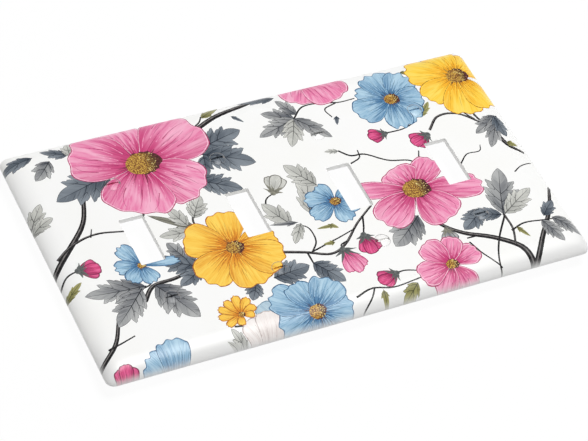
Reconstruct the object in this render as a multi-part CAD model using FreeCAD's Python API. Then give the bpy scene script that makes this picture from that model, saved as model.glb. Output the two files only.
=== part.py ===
"""Four-gang toggle switch wall plate with its eight oval-head mounting screws.

Frame: millimetres, +Z out of the wall, +X along the long side, +Y up the wall.
Origin: middle of the plate on the wall plane, which its rim touches.
"""

import math
import os

import FreeCAD
import Part
from FreeCAD import Vector

OUT_FOLDER = "parts"
SAME_PLACE = 0.001

# Standard spacings of switches mounted side by side
GANG_PITCH = 46.04
SCREW_SPACING = 60.33
GANG_CENTRES = {
    "gang1": -1.5 * GANG_PITCH,
    "gang2": -0.5 * GANG_PITCH,
    "gang3": 0.5 * GANG_PITCH,
    "gang4": 1.5 * GANG_PITCH,
}
SCREW_ROWS = {"upper": 0.5 * SCREW_SPACING, "lower": -0.5 * SCREW_SPACING}

# Cover plate, outside
PLATE_LENGTH = 214.0
PLATE_WIDTH = 118.0
PLATE_DEPTH = 5.6
EDGE_CROWN = 9.0
CORNER_RADIUS = 3.6
PROFILE_STEPS = 10

# Cover plate, hollow back
FRONT_WALL = 2.3
RIM_WALL = 2.3
CAVITY_DEPTH = PLATE_DEPTH - FRONT_WALL
CAVITY_CROWN = 7.0
CAVITY_CORNER_RADIUS = 2.4
RIB_THICKNESS = 1.2
RIB_SETBACK = 0.8
ROOT_OVERLAP = 0.3
RIB_LENGTH = PLATE_WIDTH - 2 * RIM_WALL + 2 * ROOT_OVERLAP
BOSS_RADIUS = 4.3
BOSS_HEIGHT = 1.1

# Toggle openings
TOGGLE_WIDTH = 10.3
TOGGLE_HEIGHT = 23.8
TOGGLE_CORNER_RADIUS = 0.4
TOGGLE_EDGE_ROUND = 0.25

# No. 6-32 oval-head screw, slotted, 1/2 inch under the head's rim
SCREW_LENGTH = 12.7
THREAD_RADIUS = 1.75
NECK_RADIUS = 1.38
THREAD_START = 1.6
HEAD_RADIUS = 3.1
HEAD_DOME = 0.7
HEAD_SINK = 0.1
HALF_CONE_ANGLE = math.radians(41.0)
POINT_CHAMFER = 0.45
SLOT_WIDTH = 1.1
SLOT_DEPTH = 1.15

# Screw hole in the plate
HOLE_RADIUS = 2.05
COUNTERSINK_RADIUS = 3.25


def rounded_rectangle(length, width, radius, z):
    """Closed wire of a rounded rectangle centred on Z, at height z."""
    half_l = 0.5 * length
    half_w = 0.5 * width
    diagonal = radius * math.sqrt(0.5)
    edges = []
    corners = [(1, 1), (-1, 1), (-1, -1), (1, -1)]
    for index, (sx, sy) in enumerate(corners):
        centre = Vector(sx * (half_l - radius), sy * (half_w - radius), z)
        along_x = centre + Vector(sx * radius, 0, 0)
        along_y = centre + Vector(0, sy * radius, 0)
        middle = centre + Vector(sx * diagonal, sy * diagonal, 0)
        start, end = (along_x, along_y) if index % 2 == 0 else (along_y, along_x)
        if edges:
            edges.append(Part.LineSegment(edges[-1].lastVertex().Point, start).toShape())
        edges.append(Part.Arc(start, middle, end).toShape())
    edges.append(
        Part.LineSegment(edges[-1].lastVertex().Point, edges[0].firstVertex().Point).toShape()
    )
    return Part.Wire([Part.Edge(edge) for edge in edges])


def crowned_block(length, width, radius, crown, height, inset):
    """Rounded rectangular block whose sides curve in as a quarter ellipse, crown wide and height high."""
    sections = []
    for step in range(PROFILE_STEPS + 1):
        turn = 0.5 * math.pi * step / PROFILE_STEPS
        shrink = 2 * (inset + crown * (1 - math.cos(turn)))
        z = height * math.sin(turn)
        sections.append(rounded_rectangle(length - shrink, width - shrink, radius, z))
    return Part.makeLoft(sections, True, False)


def toggle_cutter(x):
    """Prism that cuts one toggle opening, through the whole plate."""
    outline = rounded_rectangle(TOGGLE_WIDTH, TOGGLE_HEIGHT, TOGGLE_CORNER_RADIUS, 0)
    outline.translate(Vector(x, 0, 0))
    return Part.Face(outline).extrude(Vector(0, 0, 2 * PLATE_DEPTH))


def screw_hole_cutter(x, y):
    """Clearance hole with a countersink that opens at the plate's face."""
    sink_depth = (COUNTERSINK_RADIUS - HOLE_RADIUS) / math.tan(HALF_CONE_ANGLE)
    hole = Part.makeCylinder(HOLE_RADIUS, 2 * PLATE_DEPTH, Vector(x, y, -PLATE_DEPTH))
    sink = Part.makeCone(
        HOLE_RADIUS, COUNTERSINK_RADIUS, sink_depth, Vector(x, y, PLATE_DEPTH - sink_depth)
    )
    mouth = Part.makeCylinder(COUNTERSINK_RADIUS, PLATE_DEPTH, Vector(x, y, PLATE_DEPTH))
    return hole.fuse([sink, mouth])


def stiffening_rib(x):
    """Upright rib across the hollow back, between two gangs."""
    return Part.makeBox(
        RIB_THICKNESS,
        RIB_LENGTH,
        CAVITY_DEPTH - RIB_SETBACK + ROOT_OVERLAP,
        Vector(x - 0.5 * RIB_THICKNESS, -0.5 * RIB_LENGTH, RIB_SETBACK),
    )


def screw_boss(x, y):
    """Round pad that thickens the front wall behind a countersink."""
    return Part.makeCylinder(
        BOSS_RADIUS, BOSS_HEIGHT + ROOT_OVERLAP, Vector(x, y, CAVITY_DEPTH - BOSS_HEIGHT)
    )


def toggle_edges_on_face(plate):
    """The edges where the toggle openings meet the plate's face."""
    found = []
    for edge in plate.Edges:
        box = edge.BoundBox
        on_face = max(abs(box.ZMin - PLATE_DEPTH), abs(box.ZMax - PLATE_DEPTH)) < SAME_PLACE
        if on_face and max(abs(box.YMin), abs(box.YMax)) < 0.5 * TOGGLE_HEIGHT + SAME_PLACE:
            found.append(edge)
    return found


def make_cover_plate():
    """The moulded plate: crowned shell, ribs, bosses, toggle openings and screw holes."""
    outside = crowned_block(
        PLATE_LENGTH, PLATE_WIDTH, CORNER_RADIUS, EDGE_CROWN, PLATE_DEPTH, 0
    )
    cavity = crowned_block(
        PLATE_LENGTH, PLATE_WIDTH, CAVITY_CORNER_RADIUS, CAVITY_CROWN, CAVITY_DEPTH, RIM_WALL
    )
    shell = outside.cut(cavity)
    between_gangs = [-GANG_PITCH, 0.0, GANG_PITCH]
    places = [(x, y) for x in GANG_CENTRES.values() for y in SCREW_ROWS.values()]
    shell = shell.fuse([stiffening_rib(x) for x in between_gangs] + [screw_boss(*p) for p in places])
    shell = shell.cut(
        [toggle_cutter(x) for x in GANG_CENTRES.values()] + [screw_hole_cutter(*p) for p in places]
    )
    shell = shell.removeSplitter()
    return shell.makeFillet(TOGGLE_EDGE_ROUND, toggle_edges_on_face(shell))


def make_screw(x, y):
    """One oval-head screw, seated in its countersink, with its slot along X.

    Its thread is a plain cylinder of the major diameter, and its neck has the minor diameter.
    """
    rim_z = PLATE_DEPTH - HEAD_SINK
    neck_z = rim_z - (HEAD_RADIUS - NECK_RADIUS) / math.tan(HALF_CONE_ANGLE)
    tip_z = rim_z - SCREW_LENGTH
    top_z = rim_z + HEAD_DOME
    dome_radius = (HEAD_RADIUS**2 + HEAD_DOME**2) / (2 * HEAD_DOME)
    halfway = 0.5 * HEAD_RADIUS
    halfway_z = top_z - dome_radius + math.sqrt(dome_radius**2 - halfway**2)
    corners = [
        Vector(0, 0, tip_z),
        Vector(THREAD_RADIUS - POINT_CHAMFER, 0, tip_z),
        Vector(THREAD_RADIUS, 0, tip_z + POINT_CHAMFER),
        Vector(THREAD_RADIUS, 0, THREAD_START),
        Vector(NECK_RADIUS, 0, THREAD_START),
        Vector(NECK_RADIUS, 0, neck_z),
        Vector(HEAD_RADIUS, 0, rim_z),
    ]
    edges = [Part.LineSegment(a, b).toShape() for a, b in zip(corners, corners[1:])]
    edges.append(Part.Arc(corners[-1], Vector(halfway, 0, halfway_z), Vector(0, 0, top_z)).toShape())
    edges.append(Part.LineSegment(Vector(0, 0, top_z), corners[0]).toShape())
    body = Part.Face(Part.Wire(edges)).revolve(Vector(0, 0, 0), Vector(0, 0, 1), 360)
    slot = Part.makeBox(
        4 * HEAD_RADIUS,
        SLOT_WIDTH,
        2 * SLOT_DEPTH,
        Vector(-2 * HEAD_RADIUS, -0.5 * SLOT_WIDTH, top_z - SLOT_DEPTH),
    )
    screw = body.cut(slot)
    screw.translate(Vector(x, y, 0))
    return screw


def export(shape, name):
    """Writes one named sub-part, after checking that it is a single closed solid."""
    solids = shape.Solids
    if len(solids) != 1 or not solids[0].isValid():
        raise RuntimeError(f"{name} is {len(solids)} solids, or isn't valid")
    solids[0].exportStep(os.path.join(OUT_FOLDER, name + ".step"))
    print(f"{name}: {solids[0].Volume:.1f} mm3")


def main():
    os.makedirs("parts", exist_ok=True)
    export(make_cover_plate(), "cover_plate")
    for gang, x in GANG_CENTRES.items():
        for row, y in SCREW_ROWS.items():
            export(make_screw(x, y), f"screw_{gang}_{row}")


main()
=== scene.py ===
"""Looks of a four-gang toggle wall plate: white moulded plastic with a floral print, and its screws.

The layout of the print is in millimetres in the row frame, like the other sizes below. Meshes are in metres.
"""
import math
import random

import bmesh
import bpy
import numpy as np
from mathutils import Matrix, Vector
from mathutils.geometry import delaunay_2d_cdt


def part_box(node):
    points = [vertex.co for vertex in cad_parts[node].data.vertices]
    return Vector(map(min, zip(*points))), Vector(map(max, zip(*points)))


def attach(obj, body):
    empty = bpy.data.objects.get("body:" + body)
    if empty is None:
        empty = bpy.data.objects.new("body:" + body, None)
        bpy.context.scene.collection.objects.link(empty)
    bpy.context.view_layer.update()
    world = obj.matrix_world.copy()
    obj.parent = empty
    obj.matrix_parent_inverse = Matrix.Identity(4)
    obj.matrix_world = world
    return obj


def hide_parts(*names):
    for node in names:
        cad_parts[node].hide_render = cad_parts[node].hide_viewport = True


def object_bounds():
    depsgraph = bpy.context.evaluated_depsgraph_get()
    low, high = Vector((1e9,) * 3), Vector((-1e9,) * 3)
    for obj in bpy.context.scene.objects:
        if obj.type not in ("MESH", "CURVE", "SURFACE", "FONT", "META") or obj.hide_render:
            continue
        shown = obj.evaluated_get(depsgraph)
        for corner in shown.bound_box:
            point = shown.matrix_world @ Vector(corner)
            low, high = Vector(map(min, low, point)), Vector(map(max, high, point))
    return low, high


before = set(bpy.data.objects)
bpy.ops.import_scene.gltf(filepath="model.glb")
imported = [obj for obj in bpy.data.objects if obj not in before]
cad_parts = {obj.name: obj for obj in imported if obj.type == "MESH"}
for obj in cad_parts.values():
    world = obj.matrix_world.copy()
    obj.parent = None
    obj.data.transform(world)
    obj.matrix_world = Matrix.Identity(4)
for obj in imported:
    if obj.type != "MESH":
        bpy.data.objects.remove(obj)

CAD_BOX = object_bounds()
MM = 0.001
PLATE_NODE = "cover_plate"
PLATE_BODY = "plate"
SCREW_NODES = sorted(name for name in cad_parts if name.startswith("screw_"))


def node_box(node):
    """Lowest and highest corner of a CAD node, in millimetres."""
    low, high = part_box(node)
    return Vector(low) / MM, Vector(high) / MM


# Plate, outside, from the frame
PLATE_HIGH = node_box(PLATE_NODE)[1]
HALF_LENGTH = PLATE_HIGH.x
HALF_WIDTH = PLATE_HIGH.y
PLATE_DEPTH = PLATE_HIGH.z
EDGE_CROWN = 9.0
CORNER_RADIUS = 3.6

# Plate, hollow back
RIM_WALL = 2.3
FRONT_WALL = 2.3
CAVITY_DEPTH = PLATE_DEPTH - FRONT_WALL
CAVITY_CROWN = 7.0
CAVITY_CORNER_RADIUS = 2.4
RIB_HALF = 0.6
RIB_SETBACK = 0.8
BOSS_RADIUS = 4.3
BOSS_Z = CAVITY_DEPTH - 1.1

# Openings
TOGGLE_HALF_WIDTH = 5.15
TOGGLE_HALF_HEIGHT = 11.9
TOGGLE_CORNER_RADIUS = 0.4
TOGGLE_EDGE_ROUND = 0.25
HOLE_RADIUS = 2.05
COUNTERSINK_RADIUS = 3.25
CONE_SLOPE = math.tan(math.radians(41.0))

# Screws
THREAD_RADIUS = 1.75
NECK_RADIUS = 1.38
THREAD_START = 1.6
THREAD_PITCH = 0.794
THREAD_STEP = THREAD_PITCH / 8
THREAD_RUNOUT = 0.6 * THREAD_PITCH
CREST_GAIN = 1.25
ROOT_CUT = 0.12
POINT_CHAMFER = 0.45
HEAD_RADIUS = 3.1
HEAD_DOME = 0.7
SLOT_HALF = 0.55
SLOT_DEPTH = 1.15
CONE_MARGIN = 0.01

# How near two points are one, the range of a point's whole numbers, and how finely curves are cut
SAME_POINT = 1e-3
WELD_CELL = 1e-4
PLACE_CODES = 2**21
TINY = 1e-9
CROWN_STEPS = 16
CORNER_STEPS = 10
CIRCLE_STEPS = 56
FILLET_STEPS = 4
DOME_RINGS = (1.0, 0.97, 0.9, 0.75, 0.5)
SMOOTH_ANGLE = math.radians(32)

# Print: how many shades one ink has, first random seeds, and sizes that change how a shape is drawn
SHADES = 97
STEM_SEED = 11
LEAF_SEED = 301
BUD_SEED = 901
PETAL_SEED = 2001
DISC_SEED = 4001
NARROW_PETAL = 8
NARROW_LEAF = 5
THIN_STEM = 0.9
STEM_GAIN = 1.12
STEM_EXTRA = 0.08


# ---------------------------------------------------------------- print layout

def srgb(red, green, blue):
    """Linear colour, with alpha, from 0 to 255 screen values."""
    linear = []
    for value in (red, green, blue):
        value = value / 255
        linear.append(value / 12.92 if value <= 0.04045 else ((value + 0.055) / 1.055) ** 2.4)
    return (*linear, 1.0)


# Each flower is (ink, place, radius of its disc, petals).
# Each petal is (direction in degrees, length, width).
FLOWERS = [
    ("pink", (33, 68), 0, [(-118, 22, 17), (-74, 23, 20)]),
    ("pale_blue", (-32, -57), 0, [(118, 14, 9)]),
    ("cream", (-40, -66), 0, [(112, 17, 9), (80, 18, 11)]),
    ("blue", (-80, -66), 0, [(128, 15, 11), (84, 17, 13)]),
    ("pink", (-54, 37), 6.6, [
        (104, 23, 21), (152, 29, 28), (29, 32, 30), (-46, 27, 24), (-116, 26, 29)]),
    ("yellow", (-36, -15), 3.4, [
        (82, 18, 15), (148, 20, 17), (4, 18, 13), (214, 21, 17), (276, 20, 18), (-36, 20, 17)]),
    ("blue", (62, 39), 3.1, [
        (152, 15, 9), (99, 16, 15), (45, 16, 14), (-10, 14, 12), (-62, 15, 12), (-98, 16, 12),
        (194, 18, 14)]),
    ("gold", (96, 43), 4.4, [
        (30, 14, 15), (100, 17, 16), (155, 22, 16), (205, 20, 13), (-106, 22, 17), (-68, 21, 14)]),
    ("pink", (48.5, -9.5), 5.4, [
        (42, 19, 12), (108, 13, 17), (166, 25, 9), (-12, 29, 13), (212, 24, 16), (-67, 20, 20)]),
    ("blue", (-18, -54), 3.2, [
        (-110, 14, 12), (-55, 14, 12), (195, 16, 12), (140, 19, 15), (-6, 15, 11), (104, 15, 12),
        (46, 17, 15)]),
    ("pink", (44.5, -50), 2.5, [
        (-70, 14, 11), (-125, 13, 11), (186, 15, 11), (16, 14, 10), (62, 14, 9), (116, 14, 12)]),
    ("blue", (-74.5, -12), 1.6, [
        (114, 12, 7), (-6, 15, 4), (172, 10, 7), (222, 9, 7), (-78, 9, 7)]),
    ("blue", (13.5, -5.5), 2.2, [
        (20, 9, 7), (112, 10, 7), (158, 12, 8), (205, 13, 8), (-82, 11, 8), (-30, 10, 7)]),
    ("yellow", (-47, -46.5), 1.2, [
        (174, 9, 3), (146, 9, 3.2), (116, 8.5, 3.4), (84, 9, 3.4), (52, 8.5, 3.4), (20, 7, 3.2),
        (206, 8, 2.8), (246, 5, 3), (-16, 5, 3)]),
]

# Each leaf is (ink, x, y, direction, length, width, lobes)
LEAVES = [
    ("slate", -28, 37, 14, 21, 13, 3), ("slate", -28, 34, -27, 22, 14, 3),
    ("slate", -28, 33, -106, 11, 7, 2), ("slate", -36, 22, -32, 19, 11, 3),
    ("slate", -68, 36, 196, 27, 16, 3), ("grey", -89, 49, 224, 12, 8, 2), ("slate", -81, 50, 150, 11, 6, 2),
    ("pale", -80, 49, 78, 8, 6, 2), ("slate", -95, 53, 189, 15, 6, 2), ("pale", -109, 18, 52, 14, 8, 3),
    ("pale", -108, 18, 18, 10, 6, 2), ("grey", -77, -22, 175, 24, 11, 3),
    ("grey", -79, -23, 222, 21, 12, 3), ("grey", -73, -23, -62, 22, 14, 3),
    ("slate", -52, -20, 150, 18, 12, 3), ("slate", -53, -21, 206, 12, 8, 2),
    ("grey", -57, -13, 112, 9, 7, 2), ("olive_grey", -46, -1, 145, 20, 5, 1),
    ("pale", -45, 4, 55, 12, 8, 3), ("pale", -49, 1, 112, 12, 7, 2), ("pale", -48, -2, 176, 14, 7, 2),
    ("slate", -35, -34, -122, 9, 7, 3), ("slate", -27, -34, 4, 16, 12, 3),
    ("slate", -9, -32, -56, 15, 10, 3), ("pale", -9, -11, 118, 15, 10, 2), ("pale", 1, -8, 68, 22, 10, 2),
    ("pale", 10, 5, 122, 16, 10, 3), ("pale", -5, -12, 232, 11, 5, 2), ("grey", -6, -11, 170, 12, 3, 1),
    ("grey", 43, -23, 216, 20, 14, 3), ("slate", 70, -28, 214, 14, 9, 3), ("slate", 77, -33, 160, 13, 7, 3),
    ("grey", 78, -33, 66, 25, 14, 3), ("pale", 79, -33, 29, 19, 9, 3), ("grey", 102, 17, 207, 15, 8, 3),
    ("grey", 102, 17, 236, 19, 8, 3), ("slate", 101, 17, 268, 12, 6, 2), ("grey", 92, -41, -72, 13, 7, 3),
    ("grey", 97, -41, -50, 14, 7, 3), ("slate", 94, -39, 40, 10, 6, 2), ("grey", 17, 41, 152, 14, 8, 2),
    ("grey", 17, 41, 196, 19, 9, 3), ("grey", 19, 43, 118, 11, 6, 2), ("pale", 17, 41, 242, 16, 9, 3),
    ("grey", 17, 41, -52, 18, 8, 2), ("slate", 14, 55, 172, 16, 6, 2), ("olive", -20, 53, 30, 12, 5, 1),
    ("olive", 8, -17, 176, 8, 3, 1), ("olive", 6, -16, -42, 4, 3, 1), ("olive", 12, -53, -96, 8, 4, 1),
    ("olive", 27, -54, 216, 10, 6, 2), ("pale", -50, -61, 112, 10, 5, 2), ("pale", -51, -61, 140, 8, 4, 1),
    ("olive", -108, -18, 34, 10, 4, 2), ("olive", 70, 26, 44, 10, 4, 2), ("olive", 73, 52, -14, 6, 3, 1),
    ("pale", 27, 19, 168, 6, 3, 2), ("olive", 4, -25, 176, 5, 3, 1), ("slate", -8, 50, -48, 6, 2.5, 1),
    ("olive", 80, -41, -64, 7, 3, 1), ("slate", 35, 37, -110, 5, 3, 1), ("olive", 99, 2, -40, 5, 4, 1),
]

# Each bud is (ink, x, y, direction of its tip, length, width)
BUDS = [
    ("magenta", -99, -7, -8, 9, 8), ("magenta", -100, -64, 82, 10, 8), ("magenta", 51, 22, 180, 8, 6),
    ("magenta", 68, 16, 200, 9, 8), ("pink", 5.5, -29, -80, 13, 7), ("magenta", 17, -25, -92, 10, 8),
    ("magenta", 21, -47, 194, 9, 7), ("pale", -9, 6, 58, 10, 7), ("grey", 51, -33, -96, 7, 6),
]

# Each stem is (width at its start, width at its end, points)
STEMS = [
    (2.3, 1.5, [(-109, -6), (-97, 5), (-88, 15), (-83, 27)]),
    (1.1, 0.6, [(-104, 1), (-95, 6), (-85, 8), (-74, 6)]),
    (0.5, 0.3, [(-88, 7), (-87, 9), (-86, 11)]),
    (1.8, 1.2, [(-109, -53), (-99, -45), (-93, -34)]),
    (0.7, 0.4, [(-102, -46), (-97, -45), (-90, -43)]),
    (1.7, 1.2, [(-80, -29), (-74, -23), (-64, -22), (-52, -19)]),
    (0.6, 0.5, [(-74, -20), (-75, -22), (-79, -23)]),
    (1.9, 2.1, [(-26, 47), (-14, 52), (0, 55), (10, 58)]),
    (0.6, 0.4, [(-25, 49), (-22, 51), (-20, 54)]),
    (0.8, 0.5, [(-64, 11), (-62, 14)]),
    (0.9, 0.5, [(-43, -4), (-46, 0), (-45, 5), (-40, 10)]),
    (1.2, 0.7, [(-22, -22), (-10, -26), (0, -30), (8, -27), (17, -19), (27, -12)]),
    (0.6, 0.4, [(-8, -27), (0, -25), (8, -23), (15, -21)]),
    (0.6, 0.4, [(-7, -27), (-3, -22), (-3, -15), (-7, -12)]),
    (0.7, 0.5, [(-9, -27), (-9, -30), (-9, -33)]),
    (0.7, 0.5, [(21, -16), (19, -21), (17, -25)]),
    (0.6, 0.4, [(9, -26), (6, -27), (5.5, -29)]),
    (0.6, 0.4, [(-15, 0), (-13, 4), (-9, 6)]),
    (0.6, 0.4, [(17, 41), (23, 46), (31, 46), (39, 44), (47, 44)]),
    (0.5, 0.3, [(33, 51), (35, 46), (39, 44)]),
    (0.5, 0.4, [(38, 44), (32, 42), (33, 37)]),
    (0.6, 0.4, [(51, 22), (59, 22), (66, 24)]),
    (1.0, 0.8, [(70, 18), (77, 24), (86, 23), (94, 15)]),
    (0.9, 0.8, [(93, 26), (93, 20), (95, 13)]),
    (0.8, 0.5, [(88, 26), (90, 21), (92, 18)]),
    (0.7, 0.5, [(27, 19), (31, 15), (37, 14), (45, 8), (54, 5), (57, -1)]),
    (0.6, 0.4, [(29, 11), (34, 13), (35, 17)]),
    (0.6, 0.4, [(59, -2), (58, 4), (60, 9)]),
    (0.5, 0.3, [(74, -3), (79, 1), (85, 1), (87, 4)]),
    (1.8, 1.2, [(97, 8), (99, 0), (104, -5)]),
    (1.2, 2.6, [(47, -22), (50, -30), (57, -37), (68, -43), (77, -51), (80, -62)]),
    (0.7, 0.5, [(62, -40), (57, -40)]),
    (2.3, 1.2, [(79, -61), (87, -50), (97, -38), (105, -25)]),
    (0.9, 0.7, [(78, -33), (78, -41), (75, -49)]),
    (0.7, 0.5, [(78, -34), (70, -44), (65, -53), (64, -61)]),
    (0.7, 0.4, [(77, -42), (84, -40), (92, -41), (99, -42)]),
    (0.6, 0.4, [(57, -42), (60, -50), (65, -57)]),
    (0.7, 0.4, [(0, -53), (8, -51), (17, -53), (30, -52)]),
    (0.6, 0.4, [(9, -51), (6, -55), (1, -59)]),
    (0.6, 0.4, [(21, -47), (25, -47), (31, -49)]),
    (0.7, 0.5, [(-108, -12), (-104, -8), (-99, -7)]),
    (0.7, 0.5, [(-52, -51), (-47, -53), (-46, -61)]),
    (0.5, 0.3, [(94, -14), (98, -12), (104, -11)]),
]


# ---------------------------------------------------------------- print shapes

def unit(vectors):
    """Vectors made 1 long."""
    return vectors / np.maximum(TINY, np.linalg.norm(vectors, axis=-1))[..., None]


def left_of(ahead):
    """The way to the left of each direction in plan, 1 long."""
    ahead = unit(ahead)
    return np.column_stack([-ahead[:, 1], ahead[:, 0]])


def shade(seed):
    """A number from 0 to 1 that tells one printed shape's shading from the next's."""
    return (seed % SHADES) / SHADES


class Patch:
    """One flat printed shape. A point's place in it runs 0 to 1 along it and -1 to 1 across it."""

    def __init__(self, ink, outline, start, direction, length, half_width, seed):
        self.ink = ink
        self.outline = np.array(outline)
        self.start = np.array(start, float)
        self.along = np.array([math.cos(direction), math.sin(direction)])
        self.length = length
        self.half_width = half_width
        self.seed = seed

    def place(self, points):
        """(along, across, seed) of points, one row each."""
        away = points - self.start
        forward = away @ self.along
        sideways = away @ np.array([-self.along[1], self.along[0]])
        seed = np.full(len(points), self.seed)
        return np.column_stack([forward / self.length, sideways / self.half_width, seed])

    def reaches(self, centre, radius):
        """Whether the shape's box meets the box round a circle."""
        low, high = self.outline.min(axis=0), self.outline.max(axis=0)
        return (low < np.add(centre, radius)).all() and (high > np.subtract(centre, radius)).all()


def spans(four_points, steps):
    """Points of a Catmull-Rom curve, from every four points in a row. The end is left out."""
    curve = []
    for before, start, end, after in four_points:
        slope = end - before
        bend = 2 * before - 5 * start + 4 * end - after
        twist = 3 * start - before - 3 * end + after
        for step in range(steps):
            t = step / steps
            curve.append(0.5 * (2 * start + slope * t + bend * t**2 + twist * t**3))
    return curve


def smooth_closed(points, steps):
    """Closed smooth curve through points, with steps spans between each two."""
    ring = [np.array(point, float) for point in points]
    ring = ring[-1:] + ring + ring[:2]
    return spans(zip(ring, ring[1:], ring[2:], ring[3:]), steps)


def smooth_open(points, steps):
    """Open smooth curve through points."""
    points = [np.array(point, float) for point in points]
    ends = [2 * points[0] - points[1]] + points + [2 * points[-1] - points[-2]]
    return spans(zip(ends, ends[1:], ends[2:], ends[3:]), steps) + [points[-1]]


def turned(local, start, direction):
    """Points given as (forward, sideways), put in the plate's frame."""
    cosine, sine = math.cos(direction), math.sin(direction)
    return [(start[0] + x * cosine - y * sine, start[1] + x * sine + y * cosine) for x, y in local]


# Places down one side of a petal, as parts of its length and of its half width
PETAL_SIDE = [(0.0, 0.09), (0.16, 0.32), (0.38, 0.72), (0.62, 0.97), (0.82, 0.96), (0.93, 0.76)]
# Widths of the lines round a petal, of the pale rim inside them, and round a leaf
EDGE_LINE = 0.34
RIM_LINE = 0.34
LEAF_LINE = 0.16


def petal_width(along):
    """Half width of a petal, as a part of its greatest, at a part of its length."""
    alongs, acrosses = zip(*PETAL_SIDE)
    return float(np.interp(along, alongs, acrosses))


# Depth of the waves in a petal's tip by ink, as a part of its length, and where they are
RUFFLE = {"pink": 0.028, "yellow": 0.035, "gold": 0.035, "blue": 0.055}
RUFFLE_PLACES = [(0.97, 0.50), (0.99, 0.20), (1.0, -0.12), (0.98, -0.42)]


def petal_local(ink, length, width, grow, rng):
    """Outline of a petal that widens to a rounded, wavy tip."""
    half = 0.5 * width
    wobble = [(rng.uniform(-0.02, 0.02), rng.uniform(-0.05, 0.05)) for _ in range(2 * len(PETAL_SIDE))]
    wave = RUFFLE.get(ink, 0.015)
    ruffle = [(1 if k % 2 else -1) * wave * rng.uniform(0.3, 1.2) for k in range(len(RUFFLE_PLACES))]
    sides = []
    for side, moves in ((1, wobble[:len(PETAL_SIDE)]), (-1, wobble[len(PETAL_SIDE):])):
        sides.append([((1 + dx) * along * length + grow * along, side * (across * (1 + dy) * half + grow))
                      for (along, across), (dx, dy) in zip(PETAL_SIDE, moves)])
    tip = [((along + lift) * length + grow, across * (half + grow))
           for (along, across), lift in zip(RUFFLE_PLACES, ruffle)]
    return sides[0] + tip + sides[1][::-1]


# Dark strokes along a wide petal by ink, and how much of its length each may take
STREAKS = {"pink": 7, "magenta": 4, "yellow": 8, "gold": 8, "blue": 9, "pale_blue": 3, "cream": 4, "pale": 3,
           "grey": 2}
STREAK_REACH = {"yellow": (0.22, 0.55), "gold": (0.12, 0.38), "blue": (0.25, 0.65)}


def add_streaks(patches, ink, start, direction, length, width, seed):
    """Fine strokes that fan out along a petal, some dark and some light."""
    rng = random.Random(seed + 1)
    count = max(2, round(STREAKS[ink] * min(1.0, 0.25 + width / 20)))
    shortest, longest = STREAK_REACH.get(ink, (0.35, 0.75))
    for k in range(2 * count - 1):
        across = ((k + 0.5 + rng.uniform(-0.25, 0.25)) / (count - 0.5) - 1) * 0.84
        first = rng.uniform(0.10, 0.2) if k % 2 else rng.uniform(0.2, 0.45)
        if ink == "pink" and k % 4 == 3:
            first = rng.uniform(0.5, 0.62)
        last = min(0.93, first + rng.uniform(shortest, longest))
        bend = rng.uniform(-0.03, 0.03) * width
        local = []
        for t in (0, 1 / 3, 2 / 3, 1):
            along = first + (last - first) * t
            sideways = across * petal_width(along) * 0.5 * width
            local.append((along * length, sideways + bend * math.sin(math.pi * t)))
        line = smooth_open(turned(local, start, direction), 3)
        thick = min(1.0, 0.35 + width / 30)
        suffix, first_width = ("_streak", 0.36 * thick) if k % 2 else ("_glow", 0.34 * thick)
        add_ribbon(patches, ink + suffix, line, first_width, 0.08, seed)


def add_petal(patches, ink, start, direction, length, width, seed):
    """A petal with a pale rim and a thin darker line round it, and strokes along it."""
    rim = "_light" if ink == "pink" else "_glow"
    wide = [(0.0, rim), (-RIM_LINE, "")]
    for grow, suffix in [(EDGE_LINE, "_edge")] + (wide if width > NARROW_PETAL else [(0, "")]):
        local = petal_local(ink, length, width, grow, random.Random(seed))
        outline = smooth_closed(turned(local, start, direction), 4)
        patches.append(Patch(ink + suffix, outline, start, direction, length, 0.5 * width, shade(seed)))
    add_streaks(patches, ink, start, direction, length, width, seed)


def add_ellipse(patches, ink, start, direction, long_half, short_half, seed, steps=40):
    """An ellipse centred on start."""
    local = [(long_half * math.cos(t), short_half * math.sin(t))
             for t in (2 * math.pi * k / steps for k in range(steps))]
    outline = turned(local, start, direction)
    corner = turned([(-long_half, 0)], start, direction)[0]
    patches.append(Patch(ink, outline, corner, direction, 2 * long_half, short_half, shade(seed)))


def add_disc(patches, start, radius, seed):
    """A flower's centre: a ragged shadow to one side, short strokes round it, the disc and loose pollen."""
    rng = random.Random(seed)
    ragged = []
    for k in range(30):
        angle = 2 * math.pi * k / 30
        reach = radius * (0.98 + 0.22 * rng.random())
        ragged.append((start[0] + radius * 0.22 + reach * math.cos(angle),
                       start[1] + reach * 0.84 * math.sin(angle)))
    patches.append(Patch("disc_shadow", smooth_closed(ragged, 2), start, 0.0, radius, radius, 0.3))
    for k in range(int(8 + 3 * radius)):
        angle = rng.uniform(-math.pi, math.pi)
        reach = radius * rng.uniform(1.25, 1.75)
        tip = (start[0] + reach * math.cos(angle), start[1] + reach * math.sin(angle))
        root = (start[0] + 0.8 * radius * math.cos(angle), start[1] + 0.7 * radius * math.sin(angle))
        add_ribbon(patches, "disc_shadow", smooth_open([root, tip], 2), 0.34, 0.06, seed)
    add_ellipse(patches, "disc", start, 0.2, radius, 0.84 * radius, seed)
    for k in range(int(9 * radius)):
        angle = rng.uniform(-1.2, 1.5)
        reach = radius * rng.uniform(0.5, 1.15)
        spot = (start[0] + reach * math.cos(angle), start[1] + reach * 0.85 * math.sin(angle))
        add_ellipse(patches, "pollen", spot, angle, rng.uniform(0.13, 0.27), 0.13, seed + k, 8)


def bent(start, control, end, steps):
    """Points of a curve from start towards end that leans to control. The end is left out."""
    curve = []
    for step in range(steps):
        t = step / steps
        curve.append(tuple((1 - t) ** 2 * a + 2 * t * (1 - t) * b + t**2 * c
                           for a, b, c in zip(start, control, end)))
    return curve


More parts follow.
